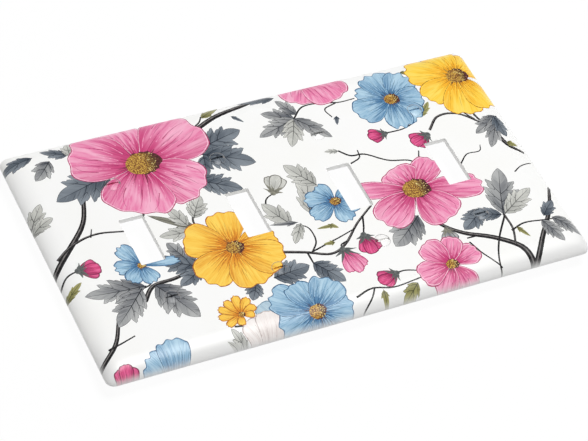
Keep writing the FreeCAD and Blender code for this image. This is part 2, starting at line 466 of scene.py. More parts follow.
def leaf_width(along):
    """Half width of a leaf, as a part of its greatest, at a part of its length."""
    return math.sin(math.pi * min(1.0, max(0.0, along)) ** 0.78) ** 0.8


def leaf_local(length, width, lobes, rng):
    """Outline of a leaf: a toothed lobe for each side vein, each with a sharp tip, and one at the end."""
    half = 0.5 * width
    root, tip = (0.0, 0.0), (length, rng.uniform(-0.08, 0.08) * half)
    outline = []
    for side in (1, -1):
        edge = []
        valley = root
        for lobe in range(lobes):
            at = 0.26 + 0.44 * (lobe + rng.uniform(-0.10, 0.10)) / max(1, lobes - 0.6)
            reach = half * leaf_width(at) * rng.uniform(0.96, 1.12)
            point = (min(0.94, at + 0.11) * length, side * reach)
            after = at + 0.07
            hollow = half * leaf_width(after) * rng.uniform(0.56, 0.70)
            dip = (after * length, side * hollow)
            belly = (0.60 * valley[0] + 0.40 * point[0], side * (0.25 * abs(valley[1]) + 0.85 * reach))
            lobe_edge = bent(valley, belly, point, 6)
            notch = lobe_edge[4]
            lobe_edge[4] = (notch[0] - 0.012 * length, notch[1] - side * 0.09 * half)
            edge += lobe_edge
            edge += bent(point, (0.4 * point[0] + 0.6 * dip[0], 0.55 * point[1] + 0.45 * dip[1]), dip, 3)
            valley = dip
        belly = (0.45 * valley[0] + 0.55 * tip[0], 1.05 * valley[1])
        edge += bent(valley, belly, tip, 6)
        outline.append(edge)
    return outline[0] + [tip] + outline[1][:0:-1]


def grown(outline, amount):
    """A clockwise outline moved outwards by an amount."""
    points = np.array(outline)
    return points + amount * left_of(np.roll(points, -1, axis=0) - np.roll(points, 1, axis=0))


def add_leaf(patches, ink, x, y, direction, length, width, lobes, seed):
    """A leaf with its midrib and side veins as thin tapering lines."""
    start = (x, y)
    rng = random.Random(seed)
    angle = math.radians(direction)
    outline = turned(leaf_local(length, width, lobes, rng), start, angle)
    if width >= NARROW_LEAF:
        patches.append(Patch(ink + "_rib", grown(outline, LEAF_LINE), start, angle, length, 0.5 * width, 0.5))
    patches.append(Patch(ink, outline, start, angle, length, 0.5 * width, shade(seed)))
    size = min(1.0, 0.35 + width / 16)
    for lobe in range(lobes):
        at = 0.08 + 0.42 * lobe / max(1, lobes - 0.6)
        tip = 0.34 + 0.44 * lobe / max(1, lobes - 0.6)
        for side in (1, -1):
            reach = 0.43 * width * leaf_width(tip - 0.06)
            vein = turned([(at * length, 0), (0.5 * (at + tip) * length, side * 0.58 * reach),
                           (tip * length, side * reach)], start, angle)
            add_ribbon(patches, ink + "_rib", smooth_open(vein, 3), 0.34 * size, 0.08, seed)
            for fork in (-0.07, 0.08):
                twig = turned([(0.45 * (at + tip) * length, side * 0.50 * reach),
                               ((tip - 0.10 + fork) * length, side * (0.80 - fork) * reach)], start, angle)
                add_ribbon(patches, ink + "_rib", smooth_open(twig, 2), 0.20 * size, 0.06, seed)
    rib = turned([(-0.02 * length, 0), (0.5 * length, 0.02 * width), (0.94 * length, 0)], start, angle)
    add_ribbon(patches, ink + "_rib", smooth_open(rib, 5), 0.52 * size, 0.10, seed)


def add_ribbon(patches, ink, line, first_width, last_width, seed):
    """A line of changing width."""
    line = np.array(line)
    side = left_of(np.gradient(line, axis=0))
    half = np.linspace(first_width, last_width, len(line))[:, None] / 2
    outline = np.vstack([line + side * half, (line - side * half)[::-1]])
    patches.append(Patch(ink, outline, line[0], 0.0, 10.0, 10.0, shade(seed)))


def add_stem(patches, first_width, last_width, points, seed):
    """A woody stem with a lighter streak along its upper side."""
    first_width, last_width = (STEM_GAIN * width + STEM_EXTRA for width in (first_width, last_width))
    line = smooth_open(points, 7)
    add_ribbon(patches, "stem", line, first_width, last_width, seed)
    if first_width >= THIN_STEM:
        lifted = [point + np.array([0.04, 0.18]) * first_width for point in line]
        add_ribbon(patches, "stem_light", lifted, 0.22 * first_width, 0.22 * last_width, seed)


def add_bud(patches, ink, x, y, direction, length, width, seed):
    """A closed bud of three petals in pointed sepals."""
    angle = math.radians(direction)
    start = (x, y)
    for turn, size in ((0.30, 0.90), (-0.30, 0.92), (0.0, 1.0)):
        add_petal(patches, ink, start, angle + turn, size * length, 0.66 * width, seed + int(10 * turn))
    sepal = "olive_grey" if ink in ("pale", "grey") else "charcoal"
    for turn, size in ((1.05, 0.46), (-1.05, 0.42), (0.62, 0.60), (-0.58, 0.56), (0.16, 0.46)):
        curl = 0.10 * width * (1 if turn > 0 else -1)
        reach = size * length
        local = [(-0.3, 0), (0.16 * length, 0.10 * width), (0.6 * size * length, 0.07 * width), (reach, curl),
                 (0.5 * size * length, -0.07 * width), (0.14 * length, -0.09 * width)]
        outline = smooth_closed(turned(local, start, angle + turn), 3)
        patches.append(Patch(sepal, outline, start, angle + turn, reach, 0.12 * width, 0.4))
    add_ellipse(patches, sepal, start, angle, 0.10 * width + 0.4, 0.17 * width, seed, 16)


def make_print():
    """Every shape of the print, the lowest first."""
    patches = []
    for index, (first_width, last_width, points) in enumerate(STEMS):
        add_stem(patches, first_width, last_width, points, STEM_SEED + index)
    for index, leaf in enumerate(LEAVES):
        add_leaf(patches, *leaf, LEAF_SEED + 7 * index)
    for index, bud in enumerate(BUDS):
        add_bud(patches, *bud, BUD_SEED + 13 * index)
    for index, (ink, start, disc_radius, petals) in enumerate(FLOWERS):
        for number, (direction, length, width) in enumerate(petals):
            add_petal(patches, ink, start, math.radians(direction), length, width,
                      PETAL_SEED + 31 * index + 5 * number)
        if disc_radius:
            add_disc(patches, start, disc_radius, DISC_SEED + index)
    return patches


# ---------------------------------------------------------------- mesh from a plan

def rounded_rectangle(half_x, half_y, radius, centre=(0.0, 0.0), steps=CORNER_STEPS):
    """Points round a rounded rectangle, anticlockwise."""
    points = []
    for quarter, (sx, sy) in enumerate([(1, 1), (-1, 1), (-1, -1), (1, -1)]):
        for step in range(steps + 1):
            angle = 0.5 * math.pi * (quarter + step / steps)
            points.append((centre[0] + sx * (half_x - radius) + radius * math.cos(angle),
                           centre[1] + sy * (half_y - radius) + radius * math.sin(angle)))
    return points


def circle(radius, centre, steps=CIRCLE_STEPS):
    """Points round a circle, anticlockwise."""
    return [(centre[0] + radius * math.cos(2 * math.pi * k / steps),
             centre[1] + radius * math.sin(2 * math.pi * k / steps)) for k in range(steps)]


def inside(points, outline):
    """Which points lie inside a closed outline."""
    outline = np.asarray(outline)
    x, y = points[:, 0], points[:, 1]
    result = np.zeros(len(points), bool)
    low, high = outline.min(axis=0), outline.max(axis=0)
    near = np.flatnonzero((x > low[0]) & (x < high[0]) & (y > low[1]) & (y < high[1]))
    if not len(near):
        return result
    px, py = x[near], y[near]
    odd = np.zeros(len(near), bool)
    for (ax, ay), (bx, by) in zip(outline, np.roll(outline, -1, axis=0)):
        if ay == by:
            continue
        crosses = (ay > py) != (by > py)
        odd ^= crosses & (px < (bx - ax) * (py - ay) / (by - ay) + ax)
    result[near] = odd
    return result


class Plan:
    """A flat triangulation, of a square well beyond the given loops and lines, with them as edges."""

    def __init__(self, loops, lines=((), ())):
        """lines is (points, pairs of their numbers)."""
        rings = [(loop, [(k, (k + 1) % len(loop)) for k in range(len(loop))]) for loop in loops]
        points, edges = [], []
        for places, pairs in rings + [lines]:
            first = len(points)
            points += [Vector((float(x), float(y))) for x, y in places]
            edges += [(first + int(start), first + int(end)) for start, end in pairs]
        far = 2 * max(max(abs(point.x), abs(point.y)) for point in points)
        points += [Vector((x, y)) for x, y in ((far, far), (-far, far), (-far, -far), (far, -far))]
        found = delaunay_2d_cdt(points, edges, [], 0, SAME_POINT)
        self.points = np.array([tuple(point) for point in found[0]])
        self.triangles = np.array([tuple(face) for face in found[2]])
        self.centres = self.points[self.triangles].mean(axis=1)

    def keep(self, chosen):
        """Leaves only the chosen triangles."""
        self.triangles = self.triangles[chosen]
        self.centres = self.centres[chosen]

    def topmost(self, patches):
        """The last patch over each triangle, or -1."""
        top = np.full(len(self.triangles), -1)
        order = np.argsort(self.centres[:, 0])
        across = self.centres[order, 0]
        for index, patch in enumerate(patches):
            first, end = np.searchsorted(across, (patch.outline[:, 0].min(), patch.outline[:, 0].max()))
            near = order[first:end]
            top[near[inside(self.centres[near], patch.outline)]] = index
        return top

    def sides(self):
        """Start, end and facing side of every side. Side 3 * t + k is side k of triangle t.

        A facing side of -1 means that there is none.
        """
        start = self.triangles.ravel()
        end = np.roll(self.triangles, -1, axis=1).ravel()
        code = start * len(self.points) + end
        order = np.argsort(code)
        opposite = end * len(self.points) + start
        spot = np.minimum(np.searchsorted(code[order], opposite), len(code) - 1)
        return start, end, np.where(code[order][spot] == opposite, order[spot], -1)

    def lines(self, owners=None):
        """The free edges or, with an owner for each triangle, the edges between different owners."""
        start, end, facing = self.sides()
        chosen = facing < 0
        if owners is not None:
            owner = owners[np.arange(len(start)) // 3]
            chosen = (facing >= 0) & (start < end) & (owner != owners[facing // 3])
        used, pairs = np.unique(np.stack([start[chosen], end[chosen]], axis=1), return_inverse=True)
        return self.points[used], pairs.reshape(-1, 2)


def visible_plan(loops, patches, plain=()):
    """A plan with the loops and the patches' visible edges. None show inside the plain outlines."""
    everything = Plan(loops + [patch.outline for patch in patches])
    top = everything.topmost(patches)
    for outline in plain:
        top[inside(everything.centres, outline)] = -1
    return Plan(loops, everything.lines(top))


class Relief:
    """A mesh between an upper surface over one plan and a lower one over another with the same free edges."""

    def __init__(self):
        self.faces = []
        self.inks = []
        self.patches = []
        self.normals = []

    def add(self, corners, inks, patches, normals=None):
        """corners is (faces, corners, xyz) in millimetres. Normals left out are the faces' own."""
        self.faces.append(corners)
        self.inks += inks
        self.patches.append(patches)
        self.normals.append(np.full(corners.shape, np.nan) if normals is None else normals)

    def surface(self, plan, heights, inks, patches, normals, upward):
        """One side of the mesh, over every triangle of a plan, and the walls where its height steps."""
        turn = slice(None) if upward else slice(None, None, -1)
        flat = plan.points[plan.triangles]
        corners = np.concatenate([flat, heights[..., None]], axis=2)
        self.add(corners[:, turn], inks, patches, None if normals is None else normals[:, turn])
        start, end, facing = plan.sides()
        side = np.flatnonzero((facing >= 0) & (start < end))
        triangle, number = side // 3, side % 3
        other, other_number = facing[side] // 3, facing[side] % 3
        here = corners[triangle, number], corners[triangle, (number + 1) % 3]
        there = corners[other, (other_number + 1) % 3], corners[other, other_number]
        gap = np.abs(here[0] - there[0]).max(axis=1) + np.abs(here[1] - there[1]).max(axis=1)
        step = gap > 0.1 * WELD_CELL
        wall = np.stack([here[1], here[0], there[0], there[1]], axis=1)[step]
        owner = triangle[step]
        self.add(wall[:, turn], [inks[k] for k in owner], patches[owner])

    def close(self, plan, heights, lower_plan, lower_heights, ink):
        """Walls down from the upper plan's free edges. An edge with no lower point under an end gets none."""
        start, end, facing = lower_plan.sides()
        free = np.flatnonzero(facing < 0)
        below = dict(zip(self.place_code(lower_plan.points[start[free]]), lower_heights[free // 3, free % 3]))
        walls = []
        start, end, facing = plan.sides()
        for side in np.flatnonzero(facing < 0):
            first, second = plan.points[start[side]], plan.points[end[side]]
            low_first, low_second = (below.get(self.place_code(point)) for point in (first, second))
            if low_first is None or low_second is None:
                continue
            corner = side % 3
            high_first, high_second = heights[side // 3, corner], heights[side // 3, (corner + 1) % 3]
            walls.append([(*second, high_second), (*first, high_first),
                          (*first, low_first), (*second, low_second)])
        self.add(np.array(walls), [ink] * len(walls), np.full(len(walls), -1))

    @staticmethod
    def place_code(points):
        """A whole number for each point, the same for points at the same place."""
        whole = np.round(points / WELD_CELL).astype(np.int64)
        code = whole[..., 0]
        for axis in range(1, whole.shape[-1]):
            code = code * PLACE_CODES + whole[..., axis]
        return code

    def make(self, name, materials, patches):
        """A Blender object, with each corner's place in its printed shape as an attribute."""
        positions = np.concatenate([faces.reshape(-1, 3) for faces in self.faces])
        normals = np.concatenate([normal.reshape(-1, 3) for normal in self.normals])
        counts = np.concatenate([np.full(len(faces), faces.shape[1]) for faces in self.faces])
        first, vertex = np.unique(self.place_code(positions), return_index=True, return_inverse=True)[1:]
        owner = np.repeat(np.arange(len(counts)), counts)
        face_starts = np.concatenate([[0], np.cumsum(counts)])
        before = np.arange(len(owner)) - 1
        before[face_starts[:-1]] = face_starts[1:] - 1
        fresh = vertex != vertex[before]
        left = np.bincount(owner[fresh], minlength=len(counts))
        fresh &= left[owner] >= 3
        good = left >= 3
        ends = np.cumsum(left[good])
        loops = vertex[fresh]
        faces = [loops[end - count:end].tolist() for end, count in zip(ends, left[good])]
        mesh = bpy.data.meshes.new(name)
        mesh.from_pydata((positions[first] * MM).tolist(), [], faces)
        inks = [ink for ink, keep in zip(self.inks, good) if keep]
        number = {ink: index for index, ink in enumerate(dict.fromkeys(inks))}
        for ink in number:
            mesh.materials.append(materials[ink])
        mesh.polygons.foreach_set("material_index", [number[ink] for ink in inks])
        patch_of = np.concatenate(self.patches)[owner[fresh]]
        values = np.zeros((len(loops), 3))
        order = np.argsort(patch_of, kind="stable")
        starts = np.flatnonzero(np.diff(patch_of[order], prepend=-3))
        for rows in np.split(order, starts[1:]):
            if patch_of[rows[0]] >= 0:
                values[rows] = patches[patch_of[rows[0]]].place(positions[first][loops[rows], :2])
        mesh.attributes.new("place", "FLOAT_VECTOR", "CORNER").data.foreach_set("vector", values.ravel())
        obj = bpy.data.objects.new(name, mesh)
        bpy.context.scene.collection.objects.link(obj)
        return obj, normals[fresh]


# ---------------------------------------------------------------- plate

def inset_and_outward(x, y, half_x, half_y, radius):
    """How far a point lies inside a rounded rectangle whose corners keep their radius, and the way out."""
    corner_x = np.abs(x) - half_x + radius
    corner_y = np.abs(y) - half_y + radius
    skew = corner_x - corner_y
    in_corner = np.abs(skew) < radius
    root = np.sqrt(np.maximum(0.0, 2 * radius**2 - skew**2))
    inset = np.where(in_corner, 0.5 * (root - corner_x - corner_y),
                     np.minimum(half_x - np.abs(x), half_y - np.abs(y)))
    out_x = np.where(in_corner, (corner_x + inset) / radius, (skew > 0).astype(float))
    out_y = np.where(in_corner, (corner_y + inset) / radius, (skew <= 0).astype(float))
    length = np.maximum(TINY, np.hypot(out_x, out_y))
    return np.maximum(0.0, inset), out_x / length * np.sign(x), out_y / length * np.sign(y)


def crown(x, y, half_x, half_y, radius, width, height):
    """Height and outward normal of a surface whose edge is a quarter ellipse."""
    inset, out_x, out_y = inset_and_outward(x, y, half_x, half_y, radius)
    cosine = np.clip(1 - inset / width, 0.0, 1.0)
    sine = np.sqrt(1 - cosine**2)
    fall = height * cosine * (1.0 / np.maximum(TINY, np.abs(out_x) + np.abs(out_y)))
    return height * sine, unit(np.stack([fall * out_x, fall * out_y, width * sine], axis=-1))


def screw_places():
    """Centre of each screw in plan, by node."""
    places = {}
    for name in SCREW_NODES:
        low, high = node_box(name)
        places[name] = (0.5 * (low.x + high.x), 0.5 * (low.y + high.y))
    return places


SCREW_PLACES = screw_places()
GANG_XS = sorted({round(x, 2) for x, y in SCREW_PLACES.values()})
RIB_XS = [0.5 * (a + b) for a, b in zip(GANG_XS, GANG_XS[1:])]


def crown_rows(half_x, half_y, radius, width, inset):
    """Loops that follow a crowned edge, closer together where it is steep."""
    rows = []
    for step in range(1, CROWN_STEPS + 1):
        turn = 0.5 * math.pi * step / CROWN_STEPS
        shrink = inset + width * (1 - math.cos(turn))
        rows.append(rounded_rectangle(half_x - shrink, half_y - shrink, radius))
    return rows


def toggle_distance(x, y, centre_x):
    """How far outside a toggle opening's wall a point is."""
    across = np.abs(x - centre_x) - (TOGGLE_HALF_WIDTH - TOGGLE_CORNER_RADIUS)
    along = np.abs(y) - (TOGGLE_HALF_HEIGHT - TOGGLE_CORNER_RADIUS)
    outside = np.hypot(np.maximum(across, 0), np.maximum(along, 0))
    return outside + np.minimum(np.maximum(across, along), 0) - TOGGLE_CORNER_RADIUS


def face_loops():
    """Every outline and row that the plate's outside needs, in plan."""
    loops = [rounded_rectangle(HALF_LENGTH, HALF_WIDTH, CORNER_RADIUS)]
    loops += crown_rows(HALF_LENGTH, HALF_WIDTH, CORNER_RADIUS, EDGE_CROWN, 0.0)
    for x in GANG_XS:
        for step in range(FILLET_STEPS + 1):
            out = TOGGLE_EDGE_ROUND * (1 - math.cos(0.5 * math.pi * step / FILLET_STEPS))
            loops.append(rounded_rectangle(TOGGLE_HALF_WIDTH + out, TOGGLE_HALF_HEIGHT + out,
                                           TOGGLE_CORNER_RADIUS + out, (x, 0.0), CORNER_STEPS // 2))
    for centre in SCREW_PLACES.values():
        loops += [circle(radius, centre) for radius in (HOLE_RADIUS, COUNTERSINK_RADIUS)]
    return loops


def back_loops():
    """Every outline and row that the plate's back needs, in plan, but for its free edges."""
    loops = [rounded_rectangle(HALF_LENGTH - RIM_WALL, HALF_WIDTH - RIM_WALL, CAVITY_CORNER_RADIUS)]
    loops += crown_rows(HALF_LENGTH, HALF_WIDTH, CAVITY_CORNER_RADIUS, CAVITY_CROWN, RIM_WALL)
    loops += [circle(BOSS_RADIUS, centre) for centre in SCREW_PLACES.values()]
    reach = HALF_WIDTH - RIM_WALL
    for x in RIB_XS:
        left, right = x - RIB_HALF, x + RIB_HALF
        loops.append([(left, -reach), (right, -reach), (right, reach), (left, reach)])
    return loops


def keep_plate(plan):
    """Drops what lies outside the plate or in its openings."""
    keep = inside(plan.centres, rounded_rectangle(HALF_LENGTH, HALF_WIDTH, CORNER_RADIUS))
    for x in GANG_XS:
        keep &= toggle_distance(plan.centres[:, 0], plan.centres[:, 1], x) > 0
    for centre in SCREW_PLACES.values():
        keep &= ~inside(plan.centres, circle(HOLE_RADIUS, centre))
    plan.keep(keep)
    return plan


def plate_upper(plan, x, y):
    """Heights and normals of the plate's outside at each triangle's corners."""
    height, normal = crown(x, y, HALF_LENGTH, HALF_WIDTH, CORNER_RADIUS, EDGE_CROWN, PLATE_DEPTH)
    cx, cy = plan.centres[:, 0], plan.centres[:, 1]
    for centre_x in GANG_XS:
        out = toggle_distance(x, y, centre_x)
        chosen = toggle_distance(cx, cy, centre_x) < TOGGLE_EDGE_ROUND
        left = np.clip(TOGGLE_EDGE_ROUND - out, 0, TOGGLE_EDGE_ROUND)
        rounded = PLATE_DEPTH - TOGGLE_EDGE_ROUND + np.sqrt(TOGGLE_EDGE_ROUND**2 - left**2)
        height[chosen] = rounded[chosen]
        toward_x = np.clip(x - centre_x, -TOGGLE_HALF_WIDTH + TOGGLE_CORNER_RADIUS,
                           TOGGLE_HALF_WIDTH - TOGGLE_CORNER_RADIUS) + centre_x - x
        toward_y = np.clip(y, -TOGGLE_HALF_HEIGHT + TOGGLE_CORNER_RADIUS,
                           TOGGLE_HALF_HEIGHT - TOGGLE_CORNER_RADIUS) - y
        reach = np.maximum(TINY, np.hypot(toward_x, toward_y))
        tilt = left / TOGGLE_EDGE_ROUND
        fillet = np.stack([tilt * toward_x / reach, tilt * toward_y / reach, np.sqrt(1 - tilt**2)], axis=-1)
        normal[chosen] = fillet[chosen]
    for px, py in SCREW_PLACES.values():
        radius = np.hypot(x - px, y - py)
        chosen = np.hypot(cx - px, cy - py) < COUNTERSINK_RADIUS - SAME_POINT
        sunk = PLATE_DEPTH - np.maximum(0, COUNTERSINK_RADIUS - radius) / CONE_SLOPE
        height[chosen] = sunk[chosen]
        inward = np.stack([(px - x) / radius, (py - y) / radius, np.full_like(x, CONE_SLOPE)], axis=-1)
        normal[chosen] = unit(inward[chosen])
    return height, normal


def plate_lower(plan, x, y):
    """Heights and normals of the plate's back at each triangle's corners."""
    half_x, half_y = HALF_LENGTH - RIM_WALL, HALF_WIDTH - RIM_WALL
    height, normal = crown(x, y, half_x, half_y, CAVITY_CORNER_RADIUS, CAVITY_CROWN, CAVITY_DEPTH)
    normal = -normal
    cx, cy = plan.centres[:, 0], plan.centres[:, 1]
    down = np.array([0.0, 0.0, -1.0])
    rim = ~inside(plan.centres, rounded_rectangle(half_x, half_y, CAVITY_CORNER_RADIUS))
    height[rim] = 0.0
    normal[rim] = down
    for rib_x in RIB_XS:
        chosen = (np.abs(cx - rib_x) < RIB_HALF) & ~rim
        height[chosen] = np.minimum(height[chosen], RIB_SETBACK)
        normal[chosen] = down
    for px, py in SCREW_PLACES.values():
        chosen = np.hypot(cx - px, cy - py) < BOSS_RADIUS - SAME_POINT
        height[chosen] = BOSS_Z
        normal[chosen] = down
    return height, normal


def set_normals(obj, normals):
    """Smooth normals where the shape's formula gives them, and the face's own normal elsewhere."""
    mesh = obj.data
    mesh.polygons.foreach_set("use_smooth", [True] * len(mesh.polygons))
    flat = np.zeros(3 * len(mesh.polygons))
    counts = np.zeros(len(mesh.polygons), int)
    mesh.polygons.foreach_get("normal", flat)
    mesh.polygons.foreach_get("loop_total", counts)
    own = np.repeat(flat.reshape(-1, 3), counts, axis=0)
    mesh.normals_split_custom_set(np.where(np.isnan(normals), own, normals).tolist())


IN_SINK = -2


def make_plate(patches, materials):
    """The moulded plate, printed on its face."""
    sinks = [circle(COUNTERSINK_RADIUS, centre) for centre in SCREW_PLACES.values()]
    plan = keep_plate(visible_plan(face_loops(), patches, sinks))
    top = plan.topmost(patches)
    # Countersink cones stay unprinted and take a mid-grey painted shade for the shadowed ring round each
    # screw head
    for sink in sinks:
        top[inside(plan.centres, sink)] = IN_SINK
    names = {-1: "white", IN_SINK: "sink"}
    inks = [names[index] if index < 0 else patches[index].ink for index in top]
    back = keep_plate(Plan(back_loops(), plan.lines()))
    upper, upper_normals = plate_upper(plan, *np.moveaxis(plan.points[plan.triangles], 2, 0))
    lower, lower_normals = plate_lower(back, *np.moveaxis(back.points[back.triangles], 2, 0))
    bare = np.full(len(lower), -1)
    relief = Relief()
    relief.surface(plan, upper, inks, top, upper_normals, True)
    relief.surface(back, lower, ["white"] * len(lower), bare, lower_normals, False)
    relief.close(plan, upper, back, lower, "white")
    obj, normals = relief.make("printed_cover_plate", materials, patches)
    set_normals(obj, normals)
    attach(obj, PLATE_BODY)
    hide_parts(PLATE_NODE)


# ---------------------------------------------------------------- screws

def keep_head(plan, centre, floor_radius):
    """Drops what lies outside a screw's head, or beyond its cone along the slot."""
    in_slot = np.abs(plan.centres[:, 1] - centre[1]) < SLOT_HALF
    past_cone = ~inside(plan.centres, circle(floor_radius, centre))
    plan.keep(inside(plan.centres, circle(HEAD_RADIUS, centre)) & ~(in_slot & past_cone))


def reach_from(plan, centre):
    """Distance of every triangle's corners from a screw's axis, in plan."""
    away = plan.points[plan.triangles] - centre
    return np.minimum(np.hypot(away[..., 0], away[..., 1]), HEAD_RADIUS)


def make_screw(name, patches, materials):
    """An oval-head slotted screw, printed on its head, with a real thread."""
    px, py = SCREW_PLACES[name]
    low, high = node_box(name)
    top_z = high.z
    rim_z = top_z - HEAD_DOME
    floor_z = top_z - SLOT_DEPTH
    dome_radius = (HEAD_RADIUS**2 + HEAD_DOME**2) / (2 * HEAD_DOME)
    floor_radius = HEAD_RADIUS - (rim_z - floor_z) * CONE_SLOPE
    near = [patch for patch in patches if patch.reaches((px, py), HEAD_RADIUS)]
    wide = 1.2 * HEAD_RADIUS
    slot = [(px - wide, py - SLOT_HALF), (px + wide, py - SLOT_HALF),
            (px + wide, py + SLOT_HALF), (px - wide, py + SLOT_HALF)]
    radii = [part * HEAD_RADIUS for part in DOME_RINGS] + [floor_radius]
    plan = visible_plan([circle(radius, (px, py)) for radius in radii] + [slot], near)
    keep_head(plan, (px, py), floor_radius)
    under = Plan([circle(NECK_RADIUS, (px, py))], plan.lines())
    keep_head(under, (px, py), floor_radius)
    under.keep(~inside(under.centres, circle(NECK_RADIUS, (px, py))))
    reach = reach_from(plan, (px, py))
    in_slot = np.abs(plan.centres[:, 1] - py) < SLOT_HALF
    cone = rim_z - (HEAD_RADIUS - reach) / CONE_SLOPE
    slot_floor = np.where(reach > floor_radius - CONE_MARGIN, cone, floor_z)
    dome = top_z - dome_radius + np.sqrt(dome_radius**2 - reach**2)
    upper = np.where(in_slot[:, None], slot_floor, dome)
    lower = rim_z - (HEAD_RADIUS - reach_from(under, (px, py))) / CONE_SLOPE
    top = plan.topmost(near)
    relief = Relief()
    inks = [near[index].ink if index >= 0 else "screw_white" for index in top]
    relief.surface(plan, upper, inks, top, None, True)
    relief.surface(under, lower, ["screw_white"] * len(lower), np.full(len(lower), -1), None, False)
    relief.close(plan, upper, under, lower, "screw_white")
    head = relief.make("printed_" + name, materials, near)[0]
    add_shank(head, (px, py), low.z, materials["bare_steel"])
    head.data.polygons.foreach_set("use_smooth", [True] * len(head.data.polygons))
    head.data.set_sharp_from_angle(angle=SMOOTH_ANGLE)
    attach(head, name)
    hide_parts(name)


def thread_radius(angle, z, tip_z):
    """Radius of a screw's shank: neck, then thread, then a chamfered point."""
    phase = ((z + THREAD_PITCH * angle / (2 * math.pi)) / THREAD_PITCH) % 1.0
    ridge = min(1.0, max(0.0, CREST_GAIN * (1 - abs(2 * phase - 1)) - ROOT_CUT))
    depth = min(1.0, max(0.0, (THREAD_START - z) / THREAD_RUNOUT))
    radius = NECK_RADIUS + (THREAD_RADIUS - NECK_RADIUS) * ridge * depth
    return min(radius, THREAD_RADIUS - POINT_CHAMFER + (z - tip_z))


def bearing(place, centre):
    """Angle of a place in metres, seen from an axis in millimetres."""
    return math.atan2(place.y - centre[1] * MM, place.x - centre[0] * MM)


def add_shank(head, centre, tip_z, material):
    """Joins a threaded shank to the open loop under a screw's head."""
    mesh = head.data
    mesh.materials.append(material)
    slot = len(mesh.materials) - 1
    bm = bmesh.new()
    bm.from_mesh(mesh)
    above = [v for v in bm.verts if v.is_boundary]
    above.sort(key=lambda v: bearing(v.co, centre))
    angles = [bearing(v.co, centre) for v in above]
    heights = [THREAD_START]
    while heights[-1] > tip_z + THREAD_STEP:
        heights.append(heights[-1] - THREAD_STEP)
    heights[-1] = tip_z
    for z in heights:
        row = []
        for angle in angles:
            radius = thread_radius(angle, z, tip_z)
            row.append(bm.verts.new((centre[0] * MM + radius * MM * math.cos(angle),
                                     centre[1] * MM + radius * MM * math.sin(angle), z * MM)))
        for k in range(len(row)):
            j = (k + 1) % len(row)
            face = bm.faces.new((above[k], row[k], row[j], above[j]))
            face.material_index = slot
        above = row
    cap = bm.faces.new(above[::-1])
    cap.material_index = slot
    bmesh.ops.recalc_face_normals(bm, faces=bm.faces)
    bm.to_mesh(mesh)
    bm.free()


# ---------------------------------------------------------------- materials

# Numbers of the Mix node's colour sockets, which share their names with others
MIX_FIRST = 6
MIX_SECOND = 7
MIX_COLOUR = 2


class Nodes:
    """Short names for building a node tree."""

    def __init__(self, name):
        self.material = bpy.data.materials.new(name)
        self.material.use_nodes = True
        self.tree = self.material.node_tree
        self.shader = self.tree.nodes["Principled BSDF"]

    def add(self, kind, **inputs):
        node = self.tree.nodes.new(kind)
        for key, value in inputs.items():
            self.put(node.inputs[key.replace("_", " ")], value)
        return node

    def put(self, socket, value):
        if isinstance(value, bpy.types.NodeSocket):
            self.tree.links.new(value, socket)
        else:
            socket.default_value = value

    def math(self, operation, first, second=0.0, third=0.0, clamp=False):
        node = self.tree.nodes.new("ShaderNodeMath")
        node.operation = operation
        node.use_clamp = clamp
        for socket, value in zip(node.inputs, (first, second, third)):
            self.put(socket, value)
        return node.outputs[0]

    def set(self, **values):
        """Uniform values of the shader's own inputs."""
        for key, value in values.items():
            self.shader.inputs[key.replace("_", " ")].default_value = value

    def times(self, first, second):
        return self.math("MULTIPLY", first, second)

    def plus(self, first, second):
        return self.math("ADD", first, second)

    def minus(self, first, second):
        return self.math("SUBTRACT", first, second)

    def mix(self, factor, first, second):
        node = self.tree.nodes.new("ShaderNodeMix")
        node.data_type = "RGBA"
        self.put(node.inputs["Factor"], factor)
        self.put(node.inputs[MIX_FIRST], first)
        self.put(node.inputs[MIX_SECOND], second)
        return node.outputs[MIX_COLOUR]

    def ramp(self, value, low, high):
        """0 below low, 1 above high, smooth between."""
        node = self.tree.nodes.new("ShaderNodeMapRange")
        node.interpolation_type = "SMOOTHSTEP"
        self.put(node.inputs["Value"], value)
        node.inputs["From Min"].default_value = low
        node.inputs["From Max"].default_value = high
        return node.outputs["Result"]

    def noise(self, vector, scale, detail=3.0, roughness=0.5):
        node = self.add("ShaderNodeTexNoise", Vector=vector, Scale=scale, Detail=detail, Roughness=roughness)
        return node.outputs["Fac"]

    def brushed(self, along, across, offset, scale, detail, roughness=0.5):
        """Noise drawn out as brush strokes."""
        return self.noise(self.combine(along, across, offset), scale, detail, roughness)

    def place(self):
        """(along, across, seed) of the printed shape, as three sockets."""
        attribute = self.tree.nodes.new("ShaderNodeAttribute")
        attribute.attribute_name = "place"
        parts = self.add("ShaderNodeSeparateXYZ", Vector=attribute.outputs["Vector"])
        return parts.outputs["X"], parts.outputs["Y"], parts.outputs["Z"]

    def combine(self, x, y, z):
        return self.add("ShaderNodeCombineXYZ", X=x, Y=y, Z=z).outputs["Vector"]

    def object_position(self):
        return self.tree.nodes.new("ShaderNodeTexCoord").outputs["Object"]


WHITE = srgb(250, 250, 249)
# Grey of the painted shade on the slope of the plate's bottom edge
SLOPE_PAINTED_SHADE = srgb(236, 236, 235)
ROUGHNESS = 0.34
MOTTLE = 0.05


def plastic_surface(nodes, colour):
    """The plate's glossy moulded surface under any colour: fine ripple in gloss and level."""
    position = nodes.object_position()
    cloud = nodes.noise(position, 90.0, 3.0)
    gloss = nodes.math("MULTIPLY_ADD", cloud, 2 * MOTTLE, ROUGHNESS - MOTTLE)
    nodes.put(nodes.shader.inputs["Roughness"], gloss)
    nodes.set(IOR=1.48, Specular_IOR_Level=0.35)
    grain = nodes.noise(position, 1600.0, 2.0)
    bump = nodes.add("ShaderNodeBump", Strength=0.01, Distance=0.0002, Height=grain)
    nodes.put(nodes.shader.inputs["Normal"], bump.outputs["Normal"])
    nodes.put(nodes.shader.inputs["Base Color"], colour)
    return nodes.material


